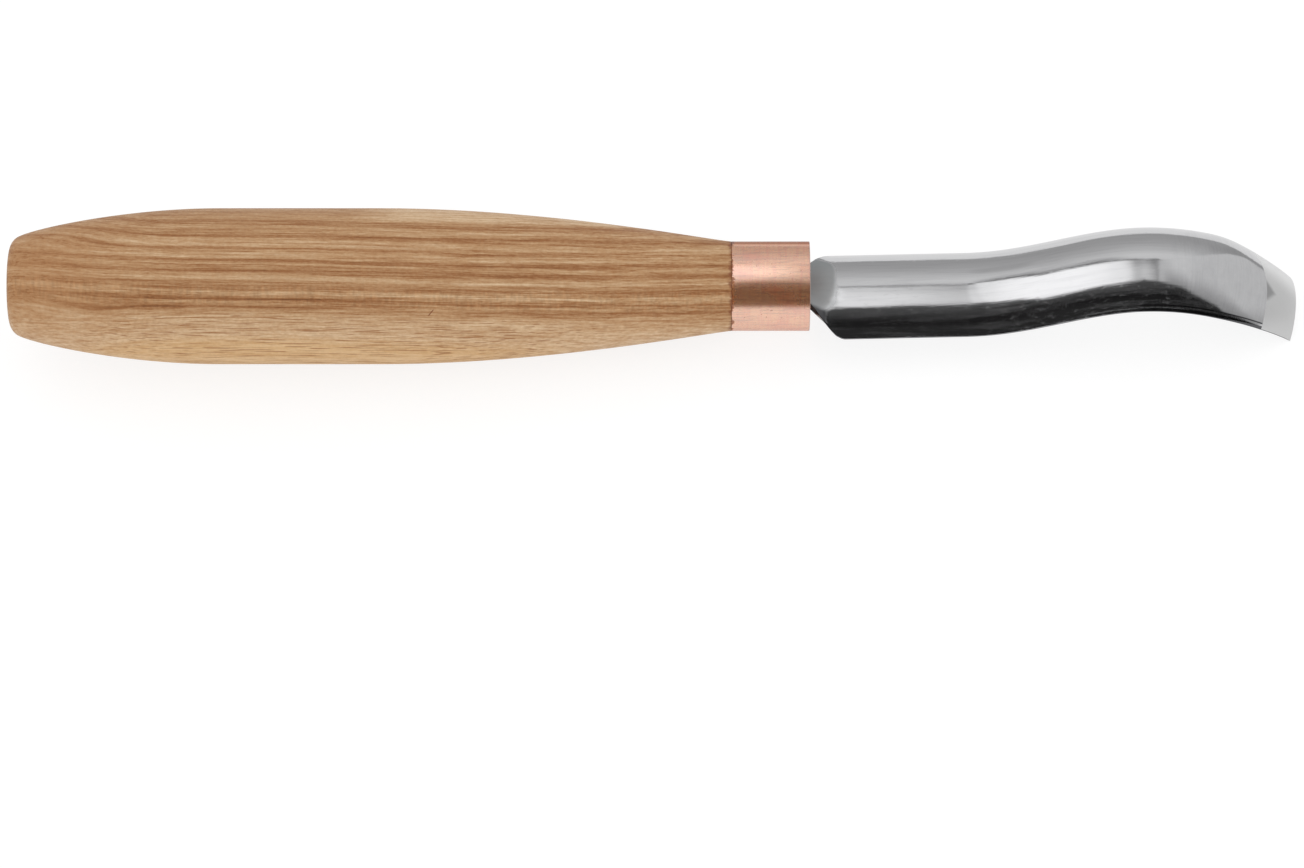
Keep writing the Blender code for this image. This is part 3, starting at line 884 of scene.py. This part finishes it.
def table_finish():
    """White table that stays white to the eye and pale in the steel, and still takes a faint shadow."""
    material, start = bare_finish("white_table")
    seen = start.node("LightPath", {}, {}, "Is Camera Ray")
    outputs = seen.socket.node.outputs
    mirrored = Wire(start.tree, outputs["Is Glossy Ray"])
    through = Wire(start.tree, outputs["Is Transmission Ray"])
    paint = start.node("BsdfDiffuse", {}, {"Color": TABLE_PAINT})
    shaded = start.node("BsdfDiffuse", {}, {"Color": TABLE_SHADED})
    white = start.node("Emission", {}, {"Color": WHITE, "Strength": TABLE_TO_THE_EYE})
    bright = start.node("AddShader", {}, {0: shaded, 1: white})
    glow = start.node("Emission", {}, {"Color": WHITE, "Strength": TABLE_GLOW})
    lit = start.node("AddShader", {}, {0: paint, 1: glow})
    grey = start.node("Emission", {}, {"Color": WHITE, "Strength": TABLE_IN_STEEL})
    image = start.node("AddShader", {}, {0: shaded, 1: grey})
    lit = start.node("MixShader", {}, {0: mirrored, 1: lit, 2: image})
    both = start.node("MixShader", {}, {0: seen.larger(through), 1: lit, 2: bright})
    start.node("OutputMaterial", {}, {"Surface": both})
    return material


table.data.materials.append(table_finish())

SOFTBOX_HEIGHT = 300 * MM
SOFTBOX_ENDS = (-60 * MM, 150 * MM)
SOFTBOX_FRONTS = (-190 * MM, -95 * MM)  # at the left and at the right end
SOFTBOX_BACKS = (145 * MM, 100 * MM)
SOFTBOX_SOFT = 25.0 * MM
SOFTBOX_STRENGTH = 0.3
CARD_HEIGHT = 45 * MM
CARD_ENDS = (100 * MM, 129 * MM)
CARD_FRONTS = (-7.4 * MM, -7.4 * MM)
CARD_BACKS = (14 * MM, 14 * MM)
CARD_SOFT = 2.0 * MM
CARD_STRENGTH = 0.34


def glow_finish(name, right, soft, strength):
    """Lit cloth with a soft right edge, which adds its glow to whatever stands behind it."""
    material, start = bare_finish(name)
    x = start.place_in_mm()[0]
    glow = x.step(right / MM, (right - soft) / MM)
    clear = start.node("BsdfTransparent", {}, {})
    light = start.node("Emission", {}, {"Color": WHITE, "Strength": strength})
    lit = start.node("AddShader", {}, {0: clear, 1: light})
    both = start.node("MixShader", {}, {0: glow, 1: clear, 2: lit})
    start.node("OutputMaterial", {}, {"Surface": both})
    return material


def hang_cloth(name, ends, fronts, backs, height, material):
    """A level cloth over the tool that shows in reflections alone."""
    deselect_all()
    bpy.ops.mesh.primitive_plane_add(size=1)
    cloth = bpy.context.object
    cloth.name = name
    for corner in cloth.data.vertices:
        end = int(corner.co.x > 0)
        sides = backs if corner.co.y > 0 else fronts
        corner.co = (ends[end], sides[end], height)
    cloth.data.materials.append(material)
    cloth.visible_camera = False
    cloth.visible_diffuse = False
    cloth.visible_transmission = False
    cloth.visible_shadow = False
    return cloth


softbox_cloth = glow_finish("softbox_cloth", SOFTBOX_ENDS[1], SOFTBOX_SOFT, SOFTBOX_STRENGTH)
softbox = hang_cloth("softbox", SOFTBOX_ENDS, SOFTBOX_FRONTS, SOFTBOX_BACKS, SOFTBOX_HEIGHT, softbox_cloth)
card_cloth = glow_finish("card_cloth", CARD_ENDS[1], CARD_SOFT, CARD_STRENGTH)
card = hang_cloth("card", CARD_ENDS, CARD_FRONTS, CARD_BACKS, CARD_HEIGHT, card_cloth)

world = bpy.data.worlds.new("studio")
bpy.context.scene.world = world
world.use_nodes = True
world.cycles.sampling_method = "NONE"
background = world.node_tree.nodes["Background"]
studio = Wire(world.node_tree)
sky = studio.node("TexCoord", {}, {}, "Generated")
sky_x, sky_y, sky_z = sky.apart()
roll = 90 + studio.maths("ARCTAN2", sky_y, sky_z) * (180 / math.pi)  # 0 is level in front, 90 overhead
LAMP_FRONT = [
    (-1, 59), (-0.5, 59), (-0.44, 61), (-0.35, 63), (-0.28, 63), (-0.2, 65), (-0.1, 67), (-0.035, 69),
    (-0.018, 71.5), (0, 68.5), (0.1, 67), (0.18, 64), (0.26, 60), (0.34, 56), (0.4, 44), (0.455, 37),
    (0.495, 28), (0.565, 15), (0.655, 8), (0.707, 0), (0.75, -12), (0.8, -36), (1, -40),
]  # sky_x and roll of the lamp's front edge
LAMP_BACK = [
    (-1, 116), (-0.3, 114), (-0.06, 112.5), (-0.034, 109.5), (-0.026, 112), (-0.014, 113.5), (0, 109),
    (0.03, 110), (0.06, 111), (0.12, 111), (0.15, 109), (0.27, 115), (0.38, 124), (0.47, 134),
    (0.52, 147), (0.6, 165), (0.62, 180), (1, 190),
]  # sky_x and roll of its back edge, where the wall begins
LAMP_LEVEL = [
    (-1, 1.0), (-0.5, 0.98), (-0.44, 0.94), (-0.37, 0.9), (-0.33, 0.86), (-0.29, 0.8), (-0.2, 0.76),
    (-0.14, 0.64), (-0.06, 0.65), (-0.016, 0.72), (0.03, 0.68), (0.06, 0.58), (0.105, 0.46),
    (0.113, 0.32), (0.122, 0.32), (0.135, 0.62), (0.3, 0.74), (0.5, 0.68), (1, 0.64),
]  # sky_x and strength of the lamp
# A ramp holds 0 to 1, so rolls and strengths are read as shares of a reach.
ROLL_LOWEST = -40
ROLL_REACH = 200
LEVEL_REACH = 1.3
fronts = [(place, (value - ROLL_LOWEST) / ROLL_REACH) for place, value in LAMP_FRONT]
lamp_front = ROLL_REACH * sky_x.read(fronts) + ROLL_LOWEST
lamp_back = ROLL_REACH * sky_x.read([(place, value / ROLL_REACH) for place, value in LAMP_BACK])
lamp_level = LEVEL_REACH * sky_x.read([(place, value / LEVEL_REACH) for place, value in LAMP_LEVEL])
far_left = sky_x.step(-0.06, -0.3)
fall = roll.step(86, 108) * far_left.step(1.0, 0.0) * sky_x.step(0.11, 0.1)
lamp = lamp_level - 0.19 * fall
WALL_FOOT = 174  # roll where the wall is darkest, and how far up it takes to grow bright
WALL_CLIMB = 52
climb = ((WALL_FOOT - roll) / WALL_CLIMB).larger(0.0).smaller(1.0)
wall = (0.41 + 0.33 * climb * climb) * (1 - 0.1 * sky_x.step(0.35, 0.55))
near = (roll - lamp_front).step(42, 0)
far = (roll - lamp_front).step(75, 0)
lamp = lamp * (1 - 0.5 * (near + (far - near) * sky_x.step(0.38, 0.5)) * sky_x.step(0.12, 0.25))
wall = wall * (1 - 0.75 * (roll - lamp_back).step(14, -3) * sky_x.step(-0.1, -0.4))
# A thin dark gap between lamp and wall, as far as the hump of the blade mirrors it.
gap = 0.3 * abs(roll - lamp_back).step(2.8, 0.4) * sky_x.step(0.2, 0.12)
room = 0.015 + 0.01 * roll.band(12, 28, 10) + (0.07 + 0.06 * far_left) * roll.step(40, 70)
level = room + (lamp - room) * (roll - lamp_front).step(-2, 5.5)
level = level + (wall - level) * (roll - lamp_back).step(-1.5, 1.5) - gap
is_glossy = studio.node("LightPath", {}, {}, "Is Glossy Ray")
is_camera = Wire(world.node_tree, is_glossy.socket.node.outputs["Is Camera Ray"])
dome = 0.85 + 0.2 * sky_z
strength = level * is_glossy + (1 - is_glossy) * (is_camera + (1 - is_camera) * dome)
background.inputs["Color"].default_value = WHITE
world.node_tree.links.new(strength.socket, background.inputs["Strength"])

# Camera: a long lens over the back of the blade, level with the handle. It looks past the tool's near
# side, so that the tool lies in the upper half of the picture.
CAMERA_ELEVATION = math.radians(56)
CAMERA_DISTANCE = 938.5 * MM
CAMERA_LENS = 165.6
CAMERA_SENSOR = 36
IMAGE_CENTRE = Vector((100.39 * MM, 0, 0))
IMAGE_DROP = 23.12 * MM
up_in_image = Vector((0, math.sin(CAMERA_ELEVATION), math.cos(CAMERA_ELEVATION)))
to_camera = Vector((0, -math.cos(CAMERA_ELEVATION), math.sin(CAMERA_ELEVATION)))
target = IMAGE_CENTRE - IMAGE_DROP * up_in_image
lens = bpy.data.cameras.new("camera")
lens.lens = CAMERA_LENS
lens.sensor_width = CAMERA_SENSOR
camera = bpy.data.objects.new("camera", lens)
bpy.context.scene.collection.objects.link(camera)
camera.location = target + CAMERA_DISTANCE * to_camera
camera.rotation_euler = (-to_camera).to_track_quat("-Z", "Y").to_euler()
bpy.context.scene.camera = camera
bpy.context.scene.view_settings.view_transform = "Standard"
